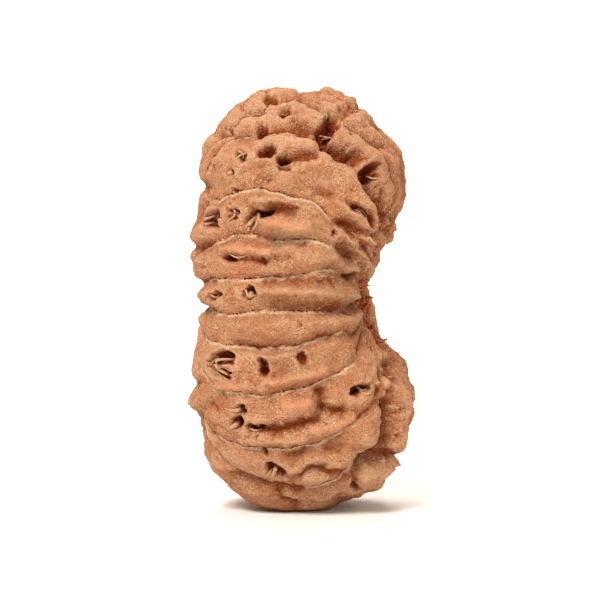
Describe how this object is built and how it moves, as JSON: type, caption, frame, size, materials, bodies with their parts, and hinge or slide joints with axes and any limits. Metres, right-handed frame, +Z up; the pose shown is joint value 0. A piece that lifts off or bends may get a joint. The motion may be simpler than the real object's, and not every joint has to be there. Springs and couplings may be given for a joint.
{
  "type": "eighteen mukhi rudraksha bead",
  "caption": "Woody natural bead, waisted at its poles, with seamed, pitted and knobbly ribs, standing on a small flat spot at its end.",
  "frame": {"origin": "centre of the bead's box, at the surface that it stands on", "axes": "+Z up along the bead's longest way, -Y out of its front, and +X to the right of the front, roughly towards the pole that shows"},
  "size_m": [0.0184, 0.0194, 0.034],
  "materials": {
    "bead_shell": "dry unpolished woody stone, dusty in its hollows, rubbed orange on its ridges, dark red-brown in its pits"
  },
  "bodies": {
    "root": {"bead": "bead_shell"}
  },
  "joints": []
}
